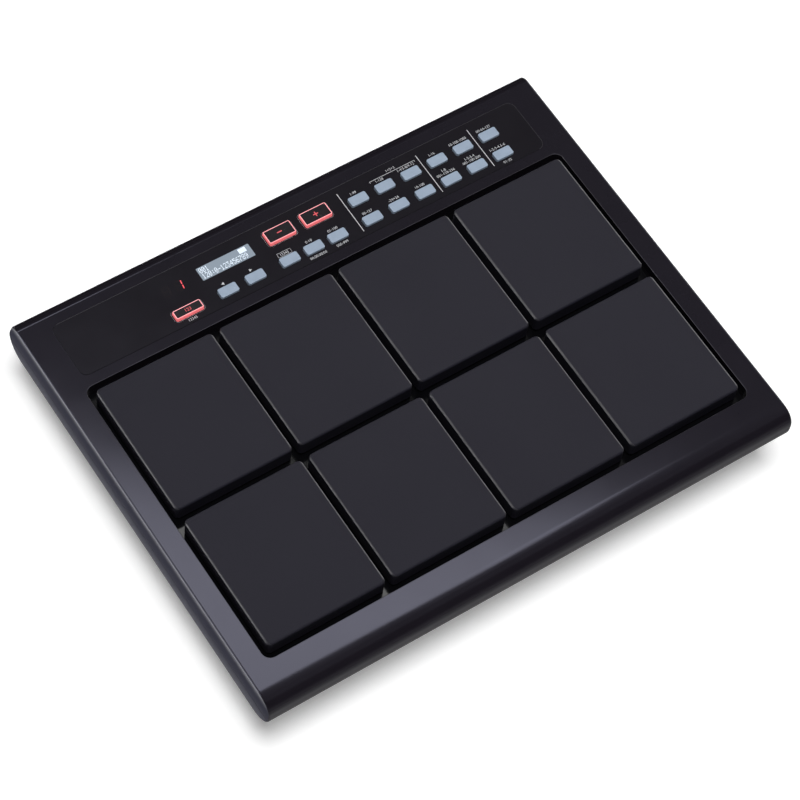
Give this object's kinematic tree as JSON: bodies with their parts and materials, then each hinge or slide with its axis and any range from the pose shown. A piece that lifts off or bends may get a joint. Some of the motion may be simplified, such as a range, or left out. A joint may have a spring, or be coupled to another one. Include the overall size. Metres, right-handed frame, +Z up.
{
  "type": "electronic percussion pad",
  "caption": "Flat black electronic percussion pad: rubber pads sunk in a round-edged case, a button and display strip along the back, sockets under the rear overhang.",
  "frame": {"origin": "on the ground under the middle of the body", "axes": "+X to the player's right, +Y to the back, +Z up"},
  "size_m": [0.364, 0.2904, 0.066],
  "materials": {
    "shell_black": "satin moulded black",
    "steel_black": "fine black powder coat",
    "overlay_print": "printed black film with clear windows",
    "bed_black": "gloss black",
    "plate_steel": "bare sheet steel",
    "foam": "closed-cell foam",
    "sensor_brass": "bare brass disc",
    "board_green": "green solder mask",
    "switch_black": "moulded black",
    "display_face": "backlit pale blue-grey display",
    "digit_face": "smoked digit display",
    "ribbon_grey": "grey flat cable",
    "socket_black": "moulded black",
    "nickel": "nickel plate",
    "knob_black": "moulded black",
    "foot_rubber": "soft black rubber",
    "screw_steel": "black zinc",
    "pad_rubber": "matt black rubber with a fine grain",
    "key_red": "clear red moulding, lit from below, black face",
    "key_grey": "soft grey moulding"
  },
  "bodies": {
    "case": {"top_cover": "shell_black", "lower_case": "shell_black", "base_tray": "steel_black", "rear_panel": "steel_black", "control_overlay": "overlay_print", "pad_bed": "bed_black", "pad_plates": "plate_steel", "pad_cushions": "foam", "trigger_sensors": "sensor_brass", "panel_board": "board_green", "main_board": "board_green", "tact_switches": "switch_black", "power_switch": "switch_black", "display_module": "display_face", "digit_module": "digit_face", "panel_ribbon": "ribbon_grey", "phone_jacks": "socket_black", "data_sockets": "socket_black", "data_cores": "socket_black", "power_socket": "socket_black", "jack_nuts": "nickel", "data_port": "nickel", "power_pin": "nickel", "volume_pot": "nickel", "stand_inserts": "nickel", "rubber_feet": "foot_rubber", "case_screws": "screw_steel", "small_screws": "screw_steel"},
    "pad_1": {"pad_1": "pad_rubber"},
    "pad_2": {"pad_2": "pad_rubber"},
    "pad_3": {"pad_3": "pad_rubber"},
    "pad_4": {"pad_4": "pad_rubber"},
    "pad_5": {"pad_5": "pad_rubber"},
    "pad_6": {"pad_6": "pad_rubber"},
    "pad_7": {"pad_7": "pad_rubber"},
    "pad_8": {"pad_8": "pad_rubber"},
    "mode_button": {"mode_button": "key_red"},
    "minus_button": {"minus_button": "key_red"},
    "plus_button": {"plus_button": "key_red"},
    "left_button": {"left_button": "key_grey"},
    "right_button": {"right_button": "key_grey"},
    "shift_button": {"shift_button": "key_grey"},
    "exit_button": {"exit_button": "key_grey"},
    "enter_button": {"enter_button": "key_grey"},
    "menu_button_1": {"menu_button_1": "key_grey"},
    "menu_button_2": {"menu_button_2": "key_grey"},
    "menu_button_3": {"menu_button_3": "key_grey"},
    "menu_button_4": {"menu_button_4": "key_grey"},
    "menu_button_5": {"menu_button_5": "key_grey"},
    "menu_button_6": {"menu_button_6": "key_grey"},
    "menu_button_7": {"menu_button_7": "key_grey"},
    "menu_button_8": {"menu_button_8": "key_grey"},
    "menu_button_9": {"menu_button_9": "key_grey"},
    "menu_button_10": {"menu_button_10": "key_grey"},
    "menu_button_11": {"menu_button_11": "key_grey"},
    "menu_button_12": {"menu_button_12": "key_grey"},
    "power_button": {"power_button": "knob_black"},
    "volume_knob": {"volume_knob": "knob_black"}
  },
  "joints": [
    {"name": "pad_1_press", "type": "slide", "parent": "case", "child": "pad_1", "axis": [0, 0, -1], "range_m": [0, 0.001], "stiffness_N_per_m": 15000, "springref_m": -0.0002, "deforming": ["pad_cushions"]},
    {"name": "pad_2_press", "type": "slide", "parent": "case", "child": "pad_2", "axis": [0, 0, -1], "range_m": [0, 0.001], "stiffness_N_per_m": 15000, "springref_m": -0.0002, "deforming": ["pad_cushions"]},
    {"name": "pad_3_press", "type": "slide", "parent": "case", "child": "pad_3", "axis": [0, 0, -1], "range_m": [0, 0.001], "stiffness_N_per_m": 15000, "springref_m": -0.0002, "deforming": ["pad_cushions"]},
    {"name": "pad_4_press", "type": "slide", "parent": "case", "child": "pad_4", "axis": [0, 0, -1], "range_m": [0, 0.001], "stiffness_N_per_m": 15000, "springref_m": -0.0002, "deforming": ["pad_cushions"]},
    {"name": "pad_5_press", "type": "slide", "parent": "case", "child": "pad_5", "axis": [0, 0, -1], "range_m": [0, 0.001], "stiffness_N_per_m": 15000, "springref_m": -0.0002, "deforming": ["pad_cushions"]},
    {"name": "pad_6_press", "type": "slide", "parent": "case", "child": "pad_6", "axis": [0, 0, -1], "range_m": [0, 0.001], "stiffness_N_per_m": 15000, "springref_m": -0.0002, "deforming": ["pad_cushions"]},
    {"name": "pad_7_press", "type": "slide", "parent": "case", "child": "pad_7", "axis": [0, 0, -1], "range_m": [0, 0.001], "stiffness_N_per_m": 15000, "springref_m": -0.0002, "deforming": ["pad_cushions"]},
    {"name": "pad_8_press", "type": "slide", "parent": "case", "child": "pad_8", "axis": [0, 0, -1], "range_m": [0, 0.001], "stiffness_N_per_m": 15000, "springref_m": -0.0002, "deforming": ["pad_cushions"]},
    {"name": "mode_button_press", "type": "slide", "parent": "case", "child": "mode_button", "axis": [0, 0, -1], "range_m": [0, 0.0008], "stiffness_N_per_m": 600, "springref_m": -0.001},
    {"name": "minus_button_press", "type": "slide", "parent": "case", "child": "minus_button", "axis": [0, 0, -1], "range_m": [0, 0.0008], "stiffness_N_per_m": 600, "springref_m": -0.001},
    {"name": "plus_button_press", "type": "slide", "parent": "case", "child": "plus_button", "axis": [0, 0, -1], "range_m": [0, 0.0008], "stiffness_N_per_m": 600, "springref_m": -0.001},
    {"name": "left_button_press", "type": "slide", "parent": "case", "child": "left_button", "axis": [0, 0, -1], "range_m": [0, 0.0008], "stiffness_N_per_m": 600, "springref_m": -0.001},
    {"name": "right_button_press", "type": "slide", "parent": "case", "child": "right_button", "axis": [0, 0, -1], "range_m": [0, 0.0008], "stiffness_N_per_m": 600, "springref_m": -0.001},
    {"name": "shift_button_press", "type": "slide", "parent": "case", "child": "shift_button", "axis": [0, 0, -1], "range_m": [0, 0.0008], "stiffness_N_per_m": 600, "springref_m": -0.001},
    {"name": "exit_button_press", "type": "slide", "parent": "case", "child": "exit_button", "axis": [0, 0, -1], "range_m": [0, 0.0008], "stiffness_N_per_m": 600, "springref_m": -0.001},
    {"name": "enter_button_press", "type": "slide", "parent": "case", "child": "enter_button", "axis": [0, 0, -1], "range_m": [0, 0.0008], "stiffness_N_per_m": 600, "springref_m": -0.001},
    {"name": "menu_button_1_press", "type": "slide", "parent": "case", "child": "menu_button_1", "axis": [0, 0, -1], "range_m": [0, 0.0008], "stiffness_N_per_m": 600, "springref_m": -0.001},
    {"name": "menu_button_2_press", "type": "slide", "parent": "case", "child": "menu_button_2", "axis": [0, 0, -1], "range_m": [0, 0.0008], "stiffness_N_per_m": 600, "springref_m": -0.001},
    {"name": "menu_button_3_press", "type": "slide", "parent": "case", "child": "menu_button_3", "axis": [0, 0, -1], "range_m": [0, 0.0008], "stiffness_N_per_m": 600, "springref_m": -0.001},
    {"name": "menu_button_4_press", "type": "slide", "parent": "case", "child": "menu_button_4", "axis": [0, 0, -1], "range_m": [0, 0.0008], "stiffness_N_per_m": 600, "springref_m": -0.001},
    {"name": "menu_button_5_press", "type": "slide", "parent": "case", "child": "menu_button_5", "axis": [0, 0, -1], "range_m": [0, 0.0008], "stiffness_N_per_m": 600, "springref_m": -0.001},
    {"name": "menu_button_6_press", "type": "slide", "parent": "case", "child": "menu_button_6", "axis": [0, 0, -1], "range_m": [0, 0.0008], "stiffness_N_per_m": 600, "springref_m": -0.001},
    {"name": "menu_button_7_press", "type": "slide", "parent": "case", "child": "menu_button_7", "axis": [0, 0, -1], "range_m": [0, 0.0008], "stiffness_N_per_m": 600, "springref_m": -0.001},
    {"name": "menu_button_8_press", "type": "slide", "parent": "case", "child": "menu_button_8", "axis": [0, 0, -1], "range_m": [0, 0.0008], "stiffness_N_per_m": 600, "springref_m": -0.001},
    {"name": "menu_button_9_press", "type": "slide", "parent": "case", "child": "menu_button_9", "axis": [0, 0, -1], "range_m": [0, 0.0008], "stiffness_N_per_m": 600, "springref_m": -0.001},
    {"name": "menu_button_10_press", "type": "slide", "parent": "case", "child": "menu_button_10", "axis": [0, 0, -1], "range_m": [0, 0.0008], "stiffness_N_per_m": 600, "springref_m": -0.001},
    {"name": "menu_button_11_press", "type": "slide", "parent": "case", "child": "menu_button_11", "axis": [0, 0, -1], "range_m": [0, 0.0008], "stiffness_N_per_m": 600, "springref_m": -0.001},
    {"name": "menu_button_12_press", "type": "slide", "parent": "case", "child": "menu_button_12", "axis": [0, 0, -1], "range_m": [0, 0.0008], "stiffness_N_per_m": 600, "springref_m": -0.001},
    {"name": "power_press", "type": "slide", "parent": "case", "child": "power_button", "axis": [0, -1, 0], "range_m": [0, 0.0025], "stiffness_N_per_m": 400, "springref_m": -0.002},
    {"name": "volume_turn", "type": "hinge", "parent": "case", "child": "volume_knob", "pos_m": [-0.14, 0.1352, 0.0181], "axis": [0, 1, 0], "range_deg": [-150, 150]}
  ]
}
